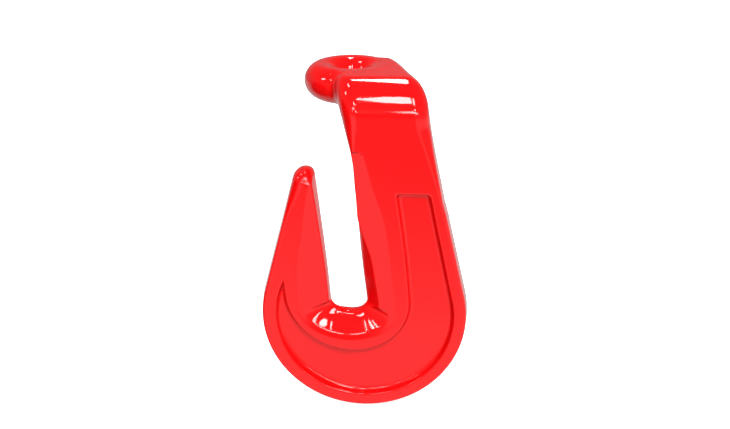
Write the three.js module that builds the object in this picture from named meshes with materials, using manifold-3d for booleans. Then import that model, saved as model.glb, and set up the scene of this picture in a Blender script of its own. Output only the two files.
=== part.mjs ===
// Safety chain hook for truck and trailer chains: a one-piece closed-die forging.
// A flat eye lies level at the top, a bent neck turns down into a leaning shank, and the shank
// runs into a round bowl with an upright point. Chain drops into the slot between point and shank.
//
// Millimetres. The origin is the centre of the eye, +Z is up along the eye's bore, +X runs across
// the hook from the point to the shank, and +Y runs from the hook's front face to its back face.

import * as THREE from 'three';
import { mergeVertices } from 'three/addons/utils/BufferGeometryUtils.js';
import Module from 'manifold-3d';

// ---------------------------------------------------------------- driving dimensions

const STOCK = 16;                       // bar size that the hook is forged from
const EYE_RADIUS = 13.75;               // centreline of the eye's round stock
const PLATE_MID = -30.6;                // Y of the parting plane of shank, bowl and point
const PLATE_HALF = 8.3;                 // half thickness of shank, bowl and point
const DRAFT_INSET = 0.9;                // how far the side walls lean in from parting line to face
const EDGE_RADIUS = 1.2;                // rounding between side wall and face

const BOWL = { x: 7.5, z: -102.1, radius: 47.8 };
const TIP = { x: -19.1, z: -38.3, radius: 5.8 };
const SHANK_LEAN = THREE.MathUtils.degToRad(12.3);   // outer edge of the shank from the vertical
const POINT_LEAN = THREE.MathUtils.degToRad(5.2);    // slot side of the point from the vertical
const PLATE_TOP = -41;                  // Z where the plate hands over to the neck

const SLOT_BOTTOM = { x: -0.1, z: -96.2, rx: 8.25, ry: 5.8 };
const SLOT_TOP_X = 2.3;                 // slot side of the shank where the neck starts to widen
const SLOT_TOP_Z = -27;
const BEVEL_DEPTH = 2.8;                // depth of the broad bevel beside the slot

const POCKET_DEPTH = 3.2;
const POCKET_DRAFT = 0.9;               // how far the pocket's walls lean in over its depth
const POCKET_ARC = { x: 7.8, z: -102, radius: 41 };

const BEND_RADIUS = 16;                 // outside of the 90 degree bend
const INNER_FILLET = 4;                 // inside of the bend
const NECK_ROUNDING = 5;                // rounding along the sides of the neck

const RED = 0xff2024;
const OVERCUT = 1;                      // how far a cutter stands proud of the face that it cuts

const FRONT = PLATE_MID - PLATE_HALF;

// ---------------------------------------------------------------- outlines in the X-Z plane

const point = (x, z) => new THREE.Vector2(x, z);

// Points of an elliptical arc from one angle to the other, ends included.
function arc(cx, cz, rx, rz, from, to, steps) {
  const points = [];
  for (let i = 0; i <= steps; i += 1) {
    const angle = from + ((to - from) * i) / steps;
    points.push(point(cx + rx * Math.cos(angle), cz + rz * Math.sin(angle)));
  }
  return points;
}

// Evenly spaced points on a smooth curve through a few given ones, ends included.
const smooth = (pairs, steps) => new THREE.SplineCurve(pairs.map(([x, z]) => point(x, z))).getPoints(steps);

// A counter-clockwise outline moved inwards by a distance, outwards when that is negative.
function inset(points, distance) {
  return points.map((here, i) => {
    const before = points[(i + points.length - 1) % points.length];
    const after = points[(i + 1) % points.length];
    const a = here.clone().sub(before).normalize();
    const b = after.clone().sub(here).normalize();
    const normal = point(-a.y - b.y, a.x + b.x).normalize();
    const stretch = 1 / Math.max(0.5, normal.x * -a.y + normal.y * a.x);
    return here.clone().addScaledVector(normal, distance * stretch);
  });
}

// ---------------------------------------------------------------- solids

const wasm = await Module();
wasm.setup();

// A closed body through rings of equally many points, with both end rings closed flat.
function loft(rings, capOutline) {
  const count = rings[0].length;
  const positions = rings.flat().flatMap((p) => [p.x, p.y, p.z]);
  const triangles = [];
  for (let r = 0; r + 1 < rings.length; r += 1) {
    for (let i = 0; i < count; i += 1) {
      const j = (i + 1) % count;
      const a = r * count + i;
      const b = r * count + j;
      triangles.push(a, b, b + count, a, b + count, a + count);
    }
  }
  const last = (rings.length - 1) * count;
  for (const [a, b, c] of THREE.ShapeUtils.triangulateShape(capOutline, [])) {
    triangles.push(a, c, b, last + a, last + b, last + c);
  }
  const geometry = new THREE.BufferGeometry();
  geometry.setAttribute('position', new THREE.Float32BufferAttribute(positions, 3));
  geometry.setIndex(triangles);
  return geometry;
}

// Outlines stacked along Y, as a solid. Each layer is { y, outline }, listed from back to front.
function stack(layers) {
  const rings = layers.map(({ y, outline }) => outline.map((p) => new THREE.Vector3(p.x, y, p.y)));
  return solid(loft(rings, layers[0].outline));
}

function solid(geometry) {
  const bare = geometry.clone();
  bare.deleteAttribute('normal');
  bare.deleteAttribute('uv');
  const merged = mergeVertices(bare, 1e-4);
  const mesh = new wasm.Mesh({
    numProp: 3,
    vertProperties: new Float32Array(merged.attributes.position.array),
    triVerts: new Uint32Array(merged.index.array),
  });
  return new wasm.Manifold(mesh);
}

function geometryOf(manifold) {
  const mesh = manifold.getMesh();
  const geometry = new THREE.BufferGeometry();
  geometry.setAttribute('position', new THREE.BufferAttribute(mesh.vertProperties, 3));
  geometry.setIndex(new THREE.BufferAttribute(mesh.triVerts, 1));
  geometry.computeVertexNormals();
  return geometry;
}

// ---------------------------------------------------------------- plate: shank, bowl and point

// X of the shank's outer edge at a height: a line that touches the bowl's circle.
function shankEdge(z) {
  const touchX = BOWL.x + BOWL.radius * Math.cos(SHANK_LEAN);
  const touchZ = BOWL.z + BOWL.radius * Math.sin(SHANK_LEAN);
  return touchX - (z - touchZ) * Math.tan(SHANK_LEAN);
}

// X of the shank's slot side at a height.
function slotEdge(z) {
  const bottomX = SLOT_BOTTOM.x + SLOT_BOTTOM.rx;
  const share = (z - SLOT_BOTTOM.z) / (SLOT_TOP_Z - SLOT_BOTTOM.z);
  return bottomX + (SLOT_TOP_X - bottomX) * share;
}

// Angle of the outward normal where one straight line touches both the bowl and the tip.
function pointBackAngle() {
  const across = point(TIP.x - BOWL.x, TIP.z - BOWL.z);
  return across.angle() + Math.acos((BOWL.radius - TIP.radius) / across.length());
}

function plateOutline() {
  const back = pointBackAngle();
  const bowlStart = back;
  const bowlEnd = 2 * Math.PI + SHANK_LEAN;
  return [
    point(shankEdge(PLATE_TOP), PLATE_TOP),
    point(slotEdge(PLATE_TOP), PLATE_TOP),
    ...arc(SLOT_BOTTOM.x, SLOT_BOTTOM.z, SLOT_BOTTOM.rx, SLOT_BOTTOM.ry, 0, -Math.PI, 12),
    ...arc(TIP.x, TIP.z, TIP.radius, TIP.radius, POINT_LEAN, back, 8),
    ...arc(BOWL.x, BOWL.z, BOWL.radius, BOWL.radius, bowlStart, bowlEnd, 40),
  ];
}

// Drafted side walls with rounded edges, the same on both faces.
function plate() {
  const outline = plateOutline();
  const half = [{ depth: 0, inward: DRAFT_INSET + EDGE_RADIUS }];
  for (const angle of [Math.PI / 6, Math.PI / 3, Math.PI / 2]) {
    half.push({
      depth: EDGE_RADIUS * (1 - Math.cos(angle)),
      inward: DRAFT_INSET + EDGE_RADIUS * (1 - Math.sin(angle)),
    });
  }
  const layer = (y, inward) => ({ y, outline: inset(outline, inward) });
  const backHalf = half.map(({ depth, inward }) => layer(PLATE_MID + PLATE_HALF - depth, inward));
  const frontHalf = half.map(({ depth, inward }) => layer(FRONT + depth, inward)).reverse();
  return stack([...backHalf, layer(PLATE_MID, 0), ...frontHalf]);
}

// ---------------------------------------------------------------- neck: shank top, bend and run to the eye

const FILLET_CENTRE = { y: PLATE_MID + PLATE_HALF + INNER_FILLET, z: -STOCK / 2 - INNER_FILLET };
const BEND_CENTRE = { y: FRONT + BEND_RADIUS, z: STOCK / 2 - BEND_RADIUS };

// Distance from the fillet's centre to the outside of the bend along a ray, 0 level and 90 degrees up.
function bendReach(angle) {
  const y = FILLET_CENTRE.y - BEND_CENTRE.y;
  const z = FILLET_CENTRE.z - BEND_CENTRE.z;
  const along = -y * Math.cos(angle) + z * Math.sin(angle);
  const onArc = -along + Math.sqrt(along * along - y * y - z * z + BEND_RADIUS * BEND_RADIUS);
  const toFront = (FILLET_CENTRE.y - FRONT) / Math.max(Math.cos(angle), 1e-6);
  const toTop = (STOCK / 2 - FILLET_CENTRE.z) / Math.max(Math.sin(angle), 1e-6);
  const hitsFront = FILLET_CENTRE.z + toFront * Math.sin(angle) < BEND_CENTRE.z;
  const hitsTop = FILLET_CENTRE.y - toTop * Math.cos(angle) > BEND_CENTRE.y;
  if (hitsFront) return toFront;
  return hitsTop ? toTop : onArc;
}

// A rounded rectangle across the neck. side runs across in X, reach along the ray from a base point.
function neckSection(base, direction, near, far, left, right, rounding) {
  const corners = [
    { x: left, t: near, from: 1.5 * Math.PI },
    { x: left, t: far, from: Math.PI },
    { x: right, t: far, from: 0.5 * Math.PI },
    { x: right, t: near, from: 0 },
  ];
  const ring = [];
  for (const { x, t, from } of corners) {
    const cx = x === right ? right - rounding : left + rounding;
    const ct = t === far ? far - rounding : near + rounding;
    for (const p of arc(cx, ct, rounding, rounding, from, from - 0.5 * Math.PI, 5)) {
      ring.push(new THREE.Vector3(p.x, base.y + direction.y * p.y, base.z + direction.z * p.y));
    }
  }
  return ring;
}

function neck() {
  const rings = [];
  const forward = { y: -1, z: 0 };
  const up = { y: 0, z: 1 };
  const back = PLATE_MID + PLATE_HALF;

  // upright stretch, from inside the plate: height, left edge, right edge, rounding
  const buried = PLATE_TOP - 8;
  const handOver = PLATE_TOP - 1;
  const upright = [
    [buried, slotEdge(buried) + 2.5, shankEdge(buried) - 2.5, 4],
    [handOver, slotEdge(handOver) + 0.4, shankEdge(handOver) - 0.4, 1.6],
    [-33, slotEdge(-33) + 0.2, shankEdge(-33) - 0.3, 2.8],
    [SLOT_TOP_Z, slotEdge(SLOT_TOP_Z), shankEdge(SLOT_TOP_Z) - 0.2, 4.4],
    [-21, 0.9, shankEdge(-21), NECK_ROUNDING],
    [-15, -0.7, shankEdge(-15), NECK_ROUNDING],
  ];
  for (const [z, left, right, rounding] of upright) {
    rings.push(neckSection({ y: back, z }, forward, 0, back - FRONT, left, right, rounding));
  }

  // bend: the section turns about the inner fillet
  const bendSteps = 10;
  for (let i = 0; i <= bendSteps; i += 1) {
    const share = i / bendSteps;
    const angle = (share * Math.PI) / 2;
    const direction = { y: -Math.cos(angle), z: Math.sin(angle) };
    const left = THREE.MathUtils.lerp(-1.8, -6.6, share);
    const right = THREE.MathUtils.lerp(36.3, 30.1, share);
    const outside = bendReach(angle);
    rings.push(neckSection(FILLET_CENTRE, direction, INNER_FILLET, outside, left, right, NECK_ROUNDING));
  }

  // level stretch, until it lies inside the eye's right side: Y, left edge, right edge, half height, rounding
  const level = [
    [-13, -6.6, 27.7, 8, 4.2],
    [-8, -3, 25.8, 8, 4.2],
    [-2, 1, 23.8, 8, 4.2],
    [4, 4, 21.7, 8, 5],
    [9, 3.6, 20.3, 7.9, 6],
  ];
  for (const [y, left, right, half, rounding] of level) {
    rings.push(neckSection({ y, z: -half }, up, 0, 2 * half, left, right, rounding));
  }
  const cap = rings[0].map((p) => point(p.x, p.y));
  return solid(loft(rings, cap));
}

// ---------------------------------------------------------------- eye

const STOCK_RADIUS = STOCK / 2;
const RING_LAP = 0.4;                   // how deep the neck's end is buried in the ring
const aboutZ = (geometry) => geometry.rotateX(Math.PI / 2);

function eyeRing() {
  const section = arc(EYE_RADIUS, 0, STOCK_RADIUS, STOCK_RADIUS, 0, 2 * Math.PI, 24);
  return solid(aboutZ(new THREE.LatheGeometry(section, 48)));
}

// The space that the neck leaves free inside the eye. Its waist lies just inside the ring's stock.
function boreClearance() {
  const crest = EYE_RADIUS + RING_LAP;
  const waist = arc(crest, 0, STOCK_RADIUS, STOCK_RADIUS, 1.5 * Math.PI, 0.5 * Math.PI, 12);
  const section = [point(0, -STOCK), point(crest, -STOCK), ...waist, point(crest, STOCK), point(0, STOCK)];
  return solid(aboutZ(new THREE.LatheGeometry(section, 48)));
}

// ---------------------------------------------------------------- slot bevel and pocket

// Outline of a long U that is open at the top, as wide at each level as its two sides say.
function uOutline(leftSide, bottom, rightSide) {
  return [
    ...smooth(leftSide, 10),
    ...arc(bottom.x, bottom.z, bottom.rx, bottom.ry, Math.PI, 2 * Math.PI, 16),
    ...smooth(rightSide, 12),
  ];
}

// Where the bevel starts on the face: the ridge of the point, the band's inner edge, the shank's arch.
function bevelOnFace() {
  return uOutline(
    [[-12.5, -22], [-15.9, -35.5], [-19.4, -52], [-22.2, -69.1], [-22.9, -82]],
    { x: -0.8, z: -97.2, rx: 22.2, ry: 16.9 },
    [[20.2, -82], [16.5, -55.1], [11.1, -38.7], [8.4, -28.5], [5.6, -23], [-2, -22]],
  );
}

// Where the bevel ends on the slot's wall.
function bevelOnWall() {
  return uOutline(
    [[-12.5, -22], [-13.9, -35.5], [-12.7, -52], [-11.2, -69.1], [-10.2, -82]],
    { x: -0.1, z: -96.2, rx: 9.3, ry: 7.6 },
    [[10.6, -84], [8.2, -64], [5.4, -52], [4.3, -38.7], [3.3, -28.5], [2.5, -24], [-2, -22.4]],
  );
}

// The slot at the parting plane.
function slotAtParting() {
  return uOutline(
    [[-12.4, -22], [-13.2, -35.5], [-11.9, -52], [-10.45, -69.1], [-9.35, -82]],
    SLOT_BOTTOM,
    [[7.1, -82], [4.75, -55.1], [3.3, -38.7], [2.4, -28.5], [1.9, -25], [-2, -23]],
  );
}

function between(a, b, share) {
  return a.map((p, i) => p.clone().lerp(b[i], share));
}

// side is -1 for the front face and +1 for the back face.
function faceLayers(side, layers) {
  const height = (depth) => PLATE_MID + side * (PLATE_HALF - depth);
  const placed = layers.map(({ depth, outline }) => ({ y: height(depth), outline }));
  placed.sort((a, b) => b.y - a.y);
  return stack(placed);
}

function slotBevel(side) {
  const face = bevelOnFace();
  const wall = bevelOnWall();
  const parting = slotAtParting();
  const proud = between(face, wall, -OVERCUT / BEVEL_DEPTH);
  return faceLayers(side, [
    { depth: -OVERCUT, outline: proud },
    { depth: BEVEL_DEPTH, outline: wall },
    { depth: BEVEL_DEPTH + 1.7, outline: between(wall, parting, 0.6) },
    { depth: PLATE_HALF, outline: parting },
  ]);
}

// The recessed web between the band round the slot and the rim.
function pocketOutline() {
  const rimEnd = Math.PI * 2 + 0.24;
  return [
    ...smooth([[21.3, -42.5], [24.1, -58.3], [26.1, -72.9], [27.9, -90]], 6),
    ...arc(-0.3, -92.8, 28.3, 26.8, 0, -Math.PI, 20),
    point(-30.2, -86),
    ...arc(POCKET_ARC.x, POCKET_ARC.z, POCKET_ARC.radius, POCKET_ARC.radius, Math.PI * 0.92, rimEnd, 36),
    point(34.6, -43.4),
    point(32.6, -41.6),
    point(23.4, -41.6),
  ];
}

function pocket(side) {
  const outline = pocketOutline();
  const leanOut = (POCKET_DRAFT * OVERCUT) / POCKET_DEPTH;
  return faceLayers(side, [
    { depth: -OVERCUT, outline: inset(outline, -leanOut) },
    { depth: POCKET_DEPTH - 0.5, outline: inset(outline, POCKET_DRAFT * 0.84) },
    { depth: POCKET_DEPTH, outline: inset(outline, POCKET_DRAFT + 0.5) },
  ]);
}

// ---------------------------------------------------------------- the forging

function forging() {
  let body = neck().subtract(boreClearance()).add(eyeRing()).add(plate());
  for (const side of [-1, 1]) {
    body = body.subtract(slotBevel(side)).subtract(pocket(side));
  }
  return geometryOf(body);
}

const red = new THREE.MeshStandardMaterial({ color: RED, roughness: 0.18, metalness: 0 });
const hook = new THREE.Mesh(forging(), red);
hook.name = 'hook_forging';

const group = new THREE.Group();
group.name = 'safety_chain_hook';
group.add(hook);

export default group;
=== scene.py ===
"""Safety chain hook: one smooth drop-forged body in glossy red paint.

The forging is described as a signed distance field in millimetres, in the frame of the CAD part:
the origin is the centre of the eye, +X runs from the point to the shank, +Y from the front face
to the back face, and +Z is up. The field is meshed once, its vertices are settled on the exact
surface, and the piece stands for the faceted CAD solid.

Around it stand a white floor and backdrop, a grey dome, and glowing panels that the paint mirrors.
"""

import math

import bpy
import numpy as np
import openvdb
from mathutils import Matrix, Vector


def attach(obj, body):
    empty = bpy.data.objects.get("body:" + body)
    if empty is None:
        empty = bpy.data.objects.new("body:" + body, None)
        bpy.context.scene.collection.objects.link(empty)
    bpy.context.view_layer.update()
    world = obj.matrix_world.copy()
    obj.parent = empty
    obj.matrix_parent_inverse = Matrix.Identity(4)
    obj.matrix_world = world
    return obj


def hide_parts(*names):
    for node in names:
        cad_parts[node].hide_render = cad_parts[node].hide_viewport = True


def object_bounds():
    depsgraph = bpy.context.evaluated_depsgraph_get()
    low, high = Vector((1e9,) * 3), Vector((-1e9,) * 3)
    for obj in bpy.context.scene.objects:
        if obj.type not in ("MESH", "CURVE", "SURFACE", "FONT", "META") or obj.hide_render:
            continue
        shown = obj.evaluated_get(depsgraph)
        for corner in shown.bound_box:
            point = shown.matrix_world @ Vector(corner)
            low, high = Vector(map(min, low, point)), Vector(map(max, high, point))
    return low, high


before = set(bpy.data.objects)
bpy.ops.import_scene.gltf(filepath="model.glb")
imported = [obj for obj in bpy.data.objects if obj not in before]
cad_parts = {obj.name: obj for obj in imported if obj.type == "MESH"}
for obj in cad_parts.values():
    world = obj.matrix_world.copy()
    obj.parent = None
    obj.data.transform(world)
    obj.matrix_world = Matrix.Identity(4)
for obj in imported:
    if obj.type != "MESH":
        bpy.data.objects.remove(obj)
cad_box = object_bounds()

MM = 0.001

# ---------------------------------------------------------------- dimensions, in millimetres

EYE_RADIUS = 13.75  # centreline of the eye's round stock
STOCK_RADIUS = 8.0
PARTING_Y = -30.6  # plane where the two forging dies met
HALF_THICKNESS = 8.3
FRONT_Y = PARTING_Y - HALF_THICKNESS
BACK_Y = PARTING_Y + HALF_THICKNESS

BOWL = (7.5, -102.1)
BOWL_RADIUS = 47.8
TIP = (-19.1, -38.3)
TIP_RADIUS = 5.8
SHANK_TOP = (16.6, 0.0)  # centre of the circle that the shank's outer edge runs on to
SHANK_TOP_RADIUS = 15.8
SHANK_RIM = 4.9  # width of the rim between that edge and the pocket, at the shank's top
DRAFT = 0.108  # lean of the side walls, from the parting line to each face
EDGE = 1.2  # rounding where a side wall meets a face
TIP_EDGE = 4.8  # the same rounding at the tip, which is nearly a dome
TIP_EDGE_RISE = (-58.0, -36.0)  # Z range over which the rounding grows from one to the other

SLOT = (-0.1, -96.2)  # centre of the slot's round bottom
SLOT_BOTTOM = (8.15, 5.8)  # half width and depth of that bottom
SLOT_LEAN = -0.1  # the slot's axis moves towards the point as it rises

POCKET_CENTRE = (7.8, -102.0)
POCKET_RADIUS = 41.0
POCKET_TOP_Z = -41.5
POCKET_DEPTH = 3.2
POCKET_DRAFT = 0.27
POCKET_FILLET = 1.3
POCKET_EDGE = 0.7
POCKET_CORNER = 2.0  # softness of the corners at its top

SADDLE = (22.3, 14.9)  # half width and depth of the saddle, the bevel's round bottom
SADDLE_MID = -0.6  # the saddle's middle, across the slot
SADDLE_SECTOR = (14, 24)  # degrees below the level where the side slope gives way to the saddle
BEVEL_SLOPE = 0.24  # fall of the slope beside the slot, towards the slot
SADDLE_SLOPE = 0.5  # fall of the steeper slope under the slot
LIP_SLOPE = 0.25
SADDLE_LIP = 2.3  # width of the shallow strip between the band and that slope
BEVEL_TOP_Z = -22.7
ARCH_START = 11.5  # distance from the slot's axis where the bevel's top starts to arch down
ARCH_FALL = 0.12
BEVEL_EDGE = 0.1  # softness of the ridge where the bevel meets the face
WALL_EDGE = 1.4  # softness of the edge where the bevel meets the slot's wall
WALL_DRAFT = 0.15  # lean of the slot's walls, from the parting line outwards
CHAMFER_SLOPE = 1.12  # fall of the chamfer on the shank's side of the slot
CHAMFER_EDGE = 0.3

BEND_RADIUS = 16.0
INNER_FILLET = 4.0
BEND_LENGTH = 18.85  # length of the bend along the bar's middle
NECK_END_Y = 11.0  # where the bar ends, inside the eye's stock
EYE_BLEND = 2.5  # fillet where the neck's sides run into the eye
CREST_BLEND = 0.8  # the same on the eye's crest, which the neck meets flush

FADE = 60.0  # moves a cutter's surface out of reach where that cutter must not act
SHANK_HAND_OVER = (-54.0, -44.0)  # Z range where the plate turns into the neck's bar

VOXEL = 0.58
MARGIN = 3.0


# ---------------------------------------------------------------- field helpers


def smooth_min(a, b, width):
    """The smaller of two fields, blended over a width where they are close."""
    close = np.maximum(width - np.abs(a - b), 0.0) / width
    return np.minimum(a, b) - close * close * width / 4


def smooth_max(a, b, width):
    return -smooth_min(-a, -b, width)


def round_max(a, b, radius):
    """The overlap of two solids, its edge rounded to a radius."""
    outside = np.hypot(np.maximum(a + radius, 0.0), np.maximum(b + radius, 0.0))
    return np.minimum(np.maximum(a, b), -radius) + outside


def smooth_step(low, high, t):
    share = np.clip((t - low) / (high - low), 0.0, 1.0)
    return share * share * (3 - 2 * share)


def curve(t, knots):
    """A smooth curve through (t, value) knots, straight beyond both ends."""
    at = np.array([k[0] for k in knots], np.float32)
    value = np.array([k[1] for k in knots], np.float32)
    slope = np.gradient(value, at)
    i = np.clip(np.searchsorted(at, t) - 1, 0, len(at) - 2)
    width = at[i + 1] - at[i]
    s = np.clip((t - at[i]) / width, 0.0, 1.0)
    inside = (
        (1 + 2 * s) * (1 - s) ** 2 * value[i]
        + s * (1 - s) ** 2 * width * slope[i]
        + s * s * (3 - 2 * s) * value[i + 1]
        + s * s * (s - 1) * width * slope[i + 1]
    )
    before = np.minimum(t - at[0], 0.0) * slope[0]
    after = np.maximum(t - at[-1], 0.0) * slope[-1]
    return inside + before + after


def tapered_capsule(x, z, a, b, radius_a, radius_b):
    """Distance to the hull of two circles in the X-Z plane."""
    length = math.hypot(b[0] - a[0], b[1] - a[1])
    ax, az = (b[0] - a[0]) / length, (b[1] - a[1]) / length
    px, pz = x - a[0], z - a[1]
    along = px * ax + pz * az
    across = np.abs(px * az - pz * ax)
    taper = (radius_a - radius_b) / length
    level = math.sqrt(1 - taper * taper)
    k = level * along - taper * across
    side = across * level + along * taper - radius_a
    lower = np.hypot(across, along) - radius_a
    upper = np.hypot(across, along - length) - radius_b
    return np.where(k < 0, lower, np.where(k > level * length, upper, side))


def u_shape(u, w, centre, rx, ry, left, right):
    """Distance to a U-shaped opening: a half ellipse below its centre, two sides above it."""
    pu, pw = u - centre[0], w - centre[1]
    k1 = np.hypot(pu / rx, pw / ry)
    k2 = np.hypot(pu / (rx * rx), pw / (ry * ry)) + 1e-6
    return np.where(pw < 0, k1 * (k1 - 1) / k2, np.maximum(left - u, u - right))


# ---------------------------------------------------------------- the forging


def slot_frame(x, z):
    """Coordinates along the slot's leaning axis: u across it, w up it from the round bottom."""
    w = z - SLOT[1]
    return x - SLOT[0] - SLOT_LEAN * w, w


def slot_opening(u, w, off_parting):
    """The slot's outline at a distance off the parting plane: narrowest on it, its crest rounded."""
    spread = WALL_DRAFT * (np.sqrt(off_parting * off_parting + 1.0) - 1.0)
    left = curve(w, [(0, 8.2), (8, 8.0), (20, 7.95), (45, 8.25), (60, 8.5)]) + spread
    right = curve(w, [(0, 8.1), (20, 8.0), (60, 8.45)]) + spread
    half_width, depth = SLOT_BOTTOM
    return u_shape(u, w, (0.0, 0.0), half_width + spread, depth + spread, -left, right)


def bevel_opening(u, w):
    """The outer edge of the bevel beside the slot: the point's ridge, the band, the shank's ridge."""
    left = -curve(w, [(-3, 22.9), (12, 22.0), (22, 20.4), (32, 17.7), (44.2, 14.9), (60.7, 10.6),
                      (68, 8.8)])
    right = curve(w, [(-3, 21.7), (18, 21.6), (30, 21.3), (41, 20.6), (49, 18.9), (57.5, 16.9),
                      (65.8, 15.5), (75, 13.9)])
    half_width, depth = SADDLE
    return u_shape(u, w, (SADDLE_MID, -3.0), half_width, depth, left, right)


def band_opening(u, w):
    """The outer edge of the raised band that runs round the slot."""
    right = curve(w, [(3.4, 28.4), (23, 28.4), (38, 28.0), (51, 27.3)])
    return u_shape(u, w, (0.15, 3.4), 28.25, 26.8, np.full_like(w, -28.1), right)


def plate_outline(x, z, u):
    """Shank, bowl and point seen from the front, without the slot."""
    bowl = np.hypot(x - BOWL[0], z - BOWL[1]) - BOWL_RADIUS
    shank = tapered_capsule(x, z, BOWL, SHANK_TOP, BOWL_RADIUS, SHANK_TOP_RADIUS)
    point = tapered_capsule(x, z, BOWL, TIP, BOWL_RADIUS, TIP_RADIUS)
    return np.minimum(bowl, np.minimum(np.maximum(shank, -u), np.maximum(point, u)))


def plate(x, y, z, u, w):
    """Shank, bowl and point between their two faces, the sides drafted from the parting line."""
    off_parting = np.abs(y - PARTING_Y)
    off_blunt_line = np.sqrt(off_parting * off_parting + 0.3)
    sides = (plate_outline(x, z, u) + DRAFT * off_blunt_line) / math.hypot(1, DRAFT)
    edge = EDGE + (TIP_EDGE - EDGE) * smooth_step(*TIP_EDGE_RISE, z) * (u < 0)
    return round_max(sides, off_parting - HALF_THICKNESS, edge)


def neck(x, y, z):
    """Shank top, bend and level run to the eye, as one bar of varying width."""
    outer = round_max(FRONT_Y - y, z - STOCK_RADIUS, BEND_RADIUS)
    quadrant = round_max(BACK_Y - y, z + STOCK_RADIUS, INNER_FILLET)
    profile = np.maximum(outer, -quadrant)
    underside = -STOCK_RADIUS - z
    profile = np.where(y > BACK_Y + INNER_FILLET, np.maximum(z - STOCK_RADIUS, underside), profile)

    # s runs along the bar: up the shank, round the bend, then level towards the eye
    corner_y, corner_z = BACK_Y + INNER_FILLET, -STOCK_RADIUS - INNER_FILLET
    angle = np.arctan2(np.maximum(z - corner_z, 0), np.maximum(corner_y - y, 0) + 1e-6)
    s = BEND_LENGTH * angle / (math.pi / 2)
    s = s + np.minimum(z - corner_z, 0) * (y < corner_y) + np.maximum(y - corner_y, 0)

    left = curve(s, [(-84.2, 8.15), (-50, 5.1), (-30, 3.0), (-15, 1.6), (-10.7, 0.8), (-4.3, -0.8),
                     (0.7, -2.1), (5.2, -3.4), (9.4, -4.7), (18.85, -6.6), (24, -6.6), (30, -3.0)])
    right = curve(s, [(-84.2, 54.4), (-60, 49.1), (-40, 44.4), (-27.7, 41.9), (-16.1, 39.4),
                      (-6, 37.4), (0, 36.3), (4, 35.7), (9.4, 34.6), (14, 32.7), (18.85, 30.1),
                      (24.2, 27.7), (29.2, 25.8), (35.2, 23.8), (41.2, 21.6), (45.2, 19.9),
                      (48.2, 17.9)])
    rounding_left = curve(s, [(-30, EDGE), (-20, EDGE), (-11, 1.6), (-3.5, 4.2), (1, 6.0),
                              (9.4, 7.2), (18.85, 5.4), (24, 5.4), (30, 5.4)])
    rounding_right = curve(s, [(-40, EDGE), (-34, EDGE), (-21, 2.2), (-8.5, 4.2), (2.5, 6.2),
                               (10, 7.0), (18.85, 6.4), (26, 5.0), (34, 4.0), (50, 3.6)])
    rounding = np.clip(np.where(x < (left + right) / 2, rounding_left, rounding_right), EDGE, 7.8)
    lift = np.clip(profile + HALF_THICKNESS, 0, HALF_THICKNESS)
    draft = DRAFT * (1 - smooth_step(0, 20, s))
    sides = np.maximum(left - x, x - right) + draft * lift
    return round_max(round_max(sides, profile, rounding), y - NECK_END_Y, 2.0)


def eye(x, y, z):
    return np.hypot(np.hypot(x, y) - EYE_RADIUS, z) - STOCK_RADIUS


def head(x, y, z):
    """The neck flowing into the eye, flush with the eye's crest and clear of its bore."""
    from_axis = np.hypot(x, y)
    in_bore = 7.0 * smooth_step(14.4, 11.0, from_axis)  # pushes the neck back out of the bore
    outwards = smooth_step(EYE_RADIUS, EYE_RADIUS + 5.0, from_axis)
    blend = CREST_BLEND + (EYE_BLEND - CREST_BLEND) * outwards
    joined = smooth_min(eye(x, y, z), neck(x, y, z) + in_bore, blend)
    flush = smooth_max(joined, z - STOCK_RADIUS, 0.6)
    return np.where(z > -STOCK_RADIUS - INNER_FILLET, flush, joined)


def bevel(off_parting, z, u, w):
    """The broad slope round the slot, as the half-space that it keeps, below its arched top."""
    inward = -bevel_opening(u, w)  # distance from the bevel's outer edge towards the slot
    angle = np.degrees(np.arctan2(np.maximum(2.2 - w, 0), np.abs(u - SADDLE_MID) + 1e-3))
    under = smooth_step(*SADDLE_SECTOR, angle)
    side_fall = BEVEL_SLOPE * inward
    lip_fall = LIP_SLOPE * inward
    steep_fall = lip_fall + (SADDLE_SLOPE - LIP_SLOPE) * (inward - SADDLE_LIP)
    fall = side_fall + (smooth_max(lip_fall, steep_fall, 0.2) - side_fall) * under
    slope = (off_parting - HALF_THICKNESS + fall) / math.hypot(1, BEVEL_SLOPE)
    arch = BEVEL_TOP_Z - ARCH_FALL * np.square(np.maximum(u - ARCH_START, 0)) - z
    return np.minimum(slope, arch)


def chamfer(off_parting, u, w):
    """The steep chamfer on the shank's side of the slot, as the half-space that it keeps."""
    # how far off the parting plane the chamfer starts: higher up the slot and round its bottom, further
    start = curve(w, [(-3, -0.3), (4, -0.3), (12, 0.1), (23, 0.8), (32, 2.8), (44, 6.6), (56, 12.0)])
    angle = np.degrees(np.arctan2(np.maximum(-w, 0), np.maximum(u, 0) + 1e-3))
    start = start + 7.5 * smooth_step(8, 62, angle)
    from_slot = slot_opening(u, w, np.zeros_like(w))
    kept = (off_parting - start - CHAMFER_SLOPE * from_slot) / math.hypot(1, CHAMFER_SLOPE)
    return kept - FADE * (smooth_step(2.0, -2.0, u) + smooth_step(48.0, 52.0, w))


def pocket(x, y, z, u, w):
    """The recessed web between the band round the slot and the rim."""
    depth = HALF_THICKNESS - np.abs(y - PARTING_Y)
    shank_top_radius = SHANK_TOP_RADIUS - SHANK_RIM
    rim = tapered_capsule(x, z, POCKET_CENTRE, SHANK_TOP, POCKET_RADIUS, shank_top_radius)
    outline = np.maximum(rim, -band_opening(u, w))
    outline = smooth_max(outline, z - POCKET_TOP_Z, POCKET_CORNER)
    walls = outline + POCKET_DRAFT * depth
    return round_max(walls, depth - POCKET_DEPTH, POCKET_FILLET)


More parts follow.
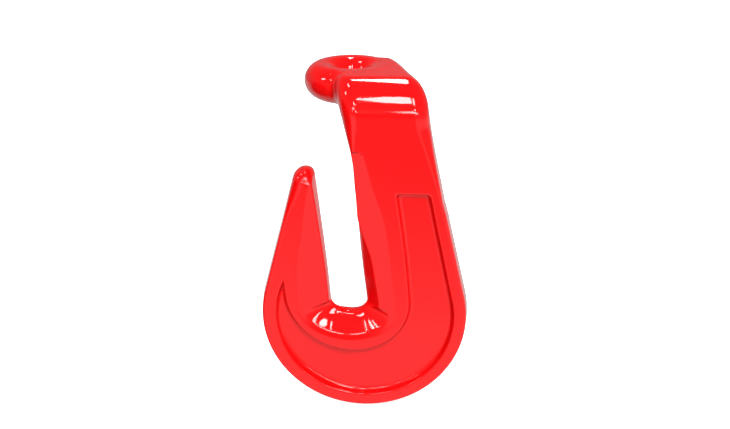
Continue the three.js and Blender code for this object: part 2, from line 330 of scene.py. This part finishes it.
def forging(x, y, z):
    """Signed distance to the hook's surface, negative inside."""
    u, w = slot_frame(x, z)
    off_parting = np.abs(y - PARTING_Y)
    flat = plate(x, y, z, u, w)
    top = head(x, y, z)
    share = smooth_step(*SHANK_HAND_OVER, z)
    walls = -slot_opening(u, w, off_parting)
    shank = np.maximum(flat, walls)
    shank = shank + (top - shank) * share
    beside = np.where(z > SHANK_HAND_OVER[1], np.minimum(flat, top), flat)
    body = np.where(u > 0, shank, beside)
    body = smooth_max(body, bevel(off_parting, z, u, w), BEVEL_EDGE)
    body = smooth_max(body, chamfer(off_parting, u, w), CHAMFER_EDGE)
    # above these heights the neck's own sides take over from the slot's walls
    top_of_walls = np.where(u > 0, smooth_step(-56.0, -50.0, z), smooth_step(-32.0, -29.0, z))
    body = smooth_max(body, walls - FADE * top_of_walls, WALL_EDGE)
    return smooth_max(body, -pocket(x, y, z, u, w), POCKET_EDGE)


# ---------------------------------------------------------------- meshing


def gradient(field, p, step=0.05):
    out = np.empty_like(p)
    for axis in range(3):
        ahead, behind = p.copy(), p.copy()
        ahead[:, axis] += step
        behind[:, axis] -= step
        out[:, axis] = (field(*ahead.T) - field(*behind.T)) / (2 * step)
    return out


def mesh_of_field(name, field, low, high):
    """A closed quad mesh of the field's zero surface, with normals taken from the field."""
    counts = np.ceil((high - low) / VOXEL).astype(int) + 1
    ys = low[1] + VOXEL * np.arange(counts[1])
    zs = low[2] + VOXEL * np.arange(counts[2])
    y, z = (g.astype(np.float32) for g in np.meshgrid(ys, zs, indexing="ij"))
    values = np.empty(counts, np.float32)
    for i in range(counts[0]):
        x = np.full_like(y, low[0] + VOXEL * i)
        values[i] = field(x, y, z)
    grid = openvdb.FloatGrid(background=MARGIN)
    grid.copyFromArray(np.clip(values, -MARGIN, MARGIN))
    points, _, quads = grid.convertToPolygons(isovalue=0.0, adaptivity=0.0)
    points = low + VOXEL * points.astype(np.float64)
    for _ in range(4):
        slope = gradient(field, points)
        steep = np.maximum((slope * slope).sum(1), 0.2)
        move = (field(*points.T) / steep)[:, None] * slope
        points -= np.clip(move, -0.4, 0.4)
    normals = gradient(field, points)
    normals /= np.maximum(np.linalg.norm(normals, axis=1), 1e-9)[:, None]

    mesh = bpy.data.meshes.new(name)
    mesh.from_pydata(points * MM, [], quads.tolist())
    mesh.update()
    face_normals = np.array([p.normal for p in mesh.polygons])
    if (face_normals * normals[quads[:, 0]]).sum() < 0:
        mesh.flip_normals()
    mesh.shade_smooth()
    mesh.normals_split_custom_set_from_vertices(normals.tolist())
    piece = bpy.data.objects.new(name, mesh)
    bpy.context.scene.collection.objects.link(piece)
    return piece


# ---------------------------------------------------------------- materials


def node_material(name):
    material = bpy.data.materials.new(name)
    material.use_nodes = True
    nodes = material.node_tree.nodes
    return material, nodes, material.node_tree.links, nodes["Principled BSDF"]


def red_paint():
    """Glossy red enamel over forged steel: a faint waviness beneath, fine orange peel on top."""
    material, nodes, links, shader = node_material("red_paint")
    place = nodes.new("ShaderNodeTexCoord")

    def noise(scale, detail):
        node = nodes.new("ShaderNodeTexNoise")
        node.inputs["Scale"].default_value = scale
        node.inputs["Detail"].default_value = detail
        links.new(place.outputs["Object"], node.inputs["Vector"])
        return node

    def ramp(source, low, high):
        node = nodes.new("ShaderNodeValToRGB")
        node.color_ramp.elements[0].position = 0.3
        node.color_ramp.elements[0].color = low
        node.color_ramp.elements[1].position = 0.7
        node.color_ramp.elements[1].color = high
        links.new(source.outputs["Fac"], node.inputs["Fac"])
        return node

    def bump(source, strength, distance, under=None):
        node = nodes.new("ShaderNodeBump")
        node.inputs["Strength"].default_value = strength
        node.inputs["Distance"].default_value = distance
        links.new(source.outputs["Fac"], node.inputs["Height"])
        if under:
            links.new(under.outputs["Normal"], node.inputs["Normal"])
        return node

    tone = ramp(noise(26.0, 4.0), (0.7, 0.002, 0.0027, 1), (0.76, 0.0026, 0.0035, 1))
    links.new(tone.outputs["Color"], shader.inputs["Base Color"])
    gloss = ramp(noise(60.0, 3.0), (0.035, 0.035, 0.035, 1), (0.07, 0.07, 0.07, 1))
    links.new(gloss.outputs["Color"], shader.inputs["Roughness"])
    waves = bump(noise(70.0, 2.0), 0.25, 0.0001)
    peel = bump(noise(900.0, 2.0), 0.06, 0.0001, waves)
    links.new(peel.outputs["Normal"], shader.inputs["Normal"])
    shader.inputs["IOR"].default_value = 1.5
    return material


def pale_surface(name, glow):
    """A white sheet lit from within, bright enough to fade the shadow under the hook."""
    material, nodes, links, shader = node_material(name)
    place = nodes.new("ShaderNodeTexCoord")
    grain = nodes.new("ShaderNodeTexNoise")
    grain.inputs["Scale"].default_value = 40.0
    links.new(place.outputs["Object"], grain.inputs["Vector"])
    shade = nodes.new("ShaderNodeValToRGB")
    shade.color_ramp.elements[0].color = (0.9, 0.9, 0.9, 1)
    shade.color_ramp.elements[1].color = (0.94, 0.94, 0.94, 1)
    links.new(grain.outputs["Fac"], shade.inputs["Fac"])
    links.new(shade.outputs["Color"], shader.inputs["Base Color"])
    shader.inputs["Roughness"].default_value = 0.9
    shader.inputs["Emission Color"].default_value = (1, 1, 1, 1)
    shader.inputs["Emission Strength"].default_value = glow
    return material


# ---------------------------------------------------------------- stage

STAGE_SIZE = (4.0, 6.0)  # half width of the floor and height of the backdrop, in metres
PANEL_MIDDLE = Vector((0.0, -0.03, -0.02))

PANELS = [  # name, distance in metres, radiance, corners as in lamp_panel
    ("back_panel", 1.1, 24, [(-0.075, 125), (0.0, 131), (0.012, 129), (0.03, 113), (0.02, 107),
                             (-0.02, 114), (-0.075, 122.5)]),
    ("front_panel", 1.1, 22, [(-0.066, 50), (-0.02, 40), (0.007, 38), (0.04, 38), (0.022, 58),
                              (0.007, 59), (-0.019, 59)]),
    ("front_right_panel", 1.1, 18, [(0.16, 38), (0.42, 34), (0.42, 56), (0.16, 58)]),
    ("low_panel", 1.2, 16, [(0.004, 9), (0.9, 9), (0.9, 14), (0.004, 14)]),
    ("low_left_panel", 1.2, 16, [(-0.3, 9), (-0.08, 9), (-0.08, 13), (-0.3, 13)]),
    ("streak_right_panel", 1.2, 24, [(0.34, 21), (0.45, 18), (0.56, 18), (0.5, 23), (0.36, 25)]),
    ("streak_middle_panel", 1.2, 20, [(0.22, 21), (0.25, 21), (0.25, 25), (0.22, 25)]),
    ("streak_left_panel", 1.2, 20, [(-0.39, 17), (-0.36, 17), (-0.36, 24), (-0.39, 24)]),
    ("streak_far_left_panel", 1.2, 24, [(-0.57, 15), (-0.5, 15), (-0.5, 22), (-0.57, 22)]),
    ("streak_farthest_panel", 1.2, 20, [(-0.68, 5), (-0.63, 5), (-0.63, 18), (-0.68, 18)]),
    ("left_top_panel", 1.1, 16, [(-0.6, 90), (-0.42, 90), (-0.42, 104), (-0.6, 104)]),
    ("left_side_panel", 1.1, 14, [(-1.9, 74), (-1.3, 74), (-1.3, 86), (-1.9, 86)]),
    ("left_low_panel", 1.1, 20, [(-0.4, 33), (-0.12, 30), (-0.12, 33), (-0.4, 40)]),
]


def camera():
    """A view from a little to the right of square on, looking down at the front face."""
    data = bpy.data.cameras.new("camera")
    data.lens = 51.29
    data.sensor_width = 36.0
    view = bpy.data.objects.new("camera", data)
    azimuth, elevation = math.radians(3.0), math.radians(21.9)
    view.location = (0.0304, -0.4650, 0.1203)
    forward = Vector((
        -math.sin(azimuth) * math.cos(elevation),
        math.cos(azimuth) * math.cos(elevation),
        -math.sin(elevation),
    ))
    view.rotation_euler = forward.to_track_quat("-Z", "Y").to_euler()
    bpy.context.scene.collection.objects.link(view)
    bpy.context.scene.camera = view


def lamp_panel(name, reach, radiance, corners):
    """A glowing panel round the hook, its corners as (offset in metres to the right, elevation in
    degrees): 0 is level in front, 90 straight up, 180 level behind."""
    points = []
    for across, elevation in corners:
        tilt = math.radians(elevation)
        arm = Vector((across, -reach * math.cos(tilt), reach * math.sin(tilt)))
        points.append(PANEL_MIDDLE + arm)
    mesh = bpy.data.meshes.new(name)
    mesh.from_pydata(points, [], [tuple(range(len(points)))])
    panel = bpy.data.objects.new(name, mesh)
    bpy.context.scene.collection.objects.link(panel)
    material, _, _, shader = node_material(name)
    shader.inputs["Base Color"].default_value = (0, 0, 0, 1)
    shader.inputs["Emission Color"].default_value = (1, 1, 1, 1)
    shader.inputs["Emission Strength"].default_value = radiance
    mesh.materials.append(material)
    panel.visible_camera = False
    panel.visible_shadow = False


def key_lamp():
    """A soft lamp above the front right, which shades the recesses; the panels make the highlights."""
    data = bpy.data.lights.new("key_lamp", "AREA")
    data.energy = 10.0
    data.size = 0.4
    lamp = bpy.data.objects.new("key_lamp", data)
    lamp.location = (0.45, -0.9, 1.1)
    aim = Vector((-0.45, 0.87, -1.15))
    lamp.rotation_euler = aim.to_track_quat("-Z", "Y").to_euler()
    lamp.visible_glossy = False
    bpy.context.scene.collection.objects.link(lamp)


def studio_dome():
    """A grey dome: brighter below the horizon, with a dim patch in front and a dark one on the left."""
    world = bpy.data.worlds.new("studio")
    world.use_nodes = True
    nodes, links = world.node_tree.nodes, world.node_tree.links
    place = nodes.new("ShaderNodeTexCoord")
    parts = nodes.new("ShaderNodeSeparateXYZ")
    links.new(place.outputs["Generated"], parts.inputs["Vector"])
    height = nodes.new("ShaderNodeMapRange")
    height.inputs["From Min"].default_value = -1.0
    links.new(parts.outputs["Z"], height.inputs["Value"])
    level = nodes.new("ShaderNodeValToRGB")
    stops = [  # height on the dome, from -1 at the bottom to 1 at the top, and grey there
        (-1.0, 0.75), (-0.3, 0.84), (-0.17, 0.75), (-0.07, 0.3),
        (0.1, 0.28), (0.27, 0.27), (0.42, 0.19), (1.0, 0.16),
    ]
    ramp = level.color_ramp
    while len(ramp.elements) < len(stops):
        ramp.elements.new(0.5)
    for stop, (z, grey) in zip(ramp.elements, stops):
        stop.position = (z + 1) / 2
        stop.color = (grey, grey, grey, 1)
    links.new(height.outputs["Result"], level.inputs["Fac"])

    def patch(azimuth, elevation, inner, outer, darkness):
        """A dark disc on the dome, fading out between two angles from its middle."""
        turn, tilt = math.radians(azimuth), math.radians(elevation)
        nearness = nodes.new("ShaderNodeVectorMath")
        nearness.operation = "DOT_PRODUCT"
        nearness.inputs[1].default_value = (
            math.sin(turn) * math.cos(tilt), -math.cos(turn) * math.cos(tilt), math.sin(tilt))
        links.new(place.outputs["Generated"], nearness.inputs[0])
        share = nodes.new("ShaderNodeMapRange")
        share.inputs["From Min"].default_value = math.cos(math.radians(outer))
        share.inputs["From Max"].default_value = math.cos(math.radians(inner))
        share.inputs["To Min"].default_value = 1.0
        share.inputs["To Max"].default_value = darkness
        links.new(nearness.outputs["Value"], share.inputs["Value"])
        return share

    front = patch(0, -11, 8, 18, 0.33)
    left = patch(-82, -22, 24, 36, 0.05)
    both = nodes.new("ShaderNodeMath")
    both.operation = "MULTIPLY"
    links.new(front.outputs["Result"], both.inputs[0])
    links.new(left.outputs["Result"], both.inputs[1])
    links.new(level.outputs["Color"], nodes["Background"].inputs["Color"])
    links.new(both.outputs["Value"], nodes["Background"].inputs["Strength"])
    bpy.context.scene.world = world


def pale_sheet(name, corners, faces, glow):
    """Part of the white surroundings: seen by the camera, but not mirrored in the paint."""
    mesh = bpy.data.meshes.new(name)
    mesh.from_pydata(corners, [], faces)
    sheet = bpy.data.objects.new(name, mesh)
    bpy.context.scene.collection.objects.link(sheet)
    mesh.materials.append(pale_surface("pale_" + name, glow))
    sheet.visible_glossy = False
    sheet.visible_diffuse = False
    return sheet


def stage(floor_z):
    reach, rise = STAGE_SIZE
    plan = [(-reach, -reach), (reach, -reach), (reach, reach), (-reach, reach)]
    ground = [(x, y, floor_z) for x, y in plan]
    top = [(x, y, floor_z + rise) for x, y in plan]
    sides = [(i, (i + 1) % 4, 4 + (i + 1) % 4, 4 + i) for i in range(4)]
    pale_sheet("floor", ground, [(0, 1, 2, 3)], 0.8)
    backdrop = pale_sheet("backdrop", ground + top, sides, 1.0)
    backdrop.visible_shadow = False

    studio_dome()
    key_lamp()
    for name, reach, radiance, corners in PANELS:
        lamp_panel(name, reach, radiance, corners)
    bpy.context.scene.view_settings.view_transform = "Standard"


# ---------------------------------------------------------------- build

camera()
low = np.array(cad_box[0]) / MM - MARGIN
high = np.array(cad_box[1]) / MM + MARGIN
hook = mesh_of_field("forged_hook", forging, low, high)
hook.data.materials.append(red_paint())
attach(hook, "root")
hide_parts("hook_forging")
stage(cad_box[0][2])
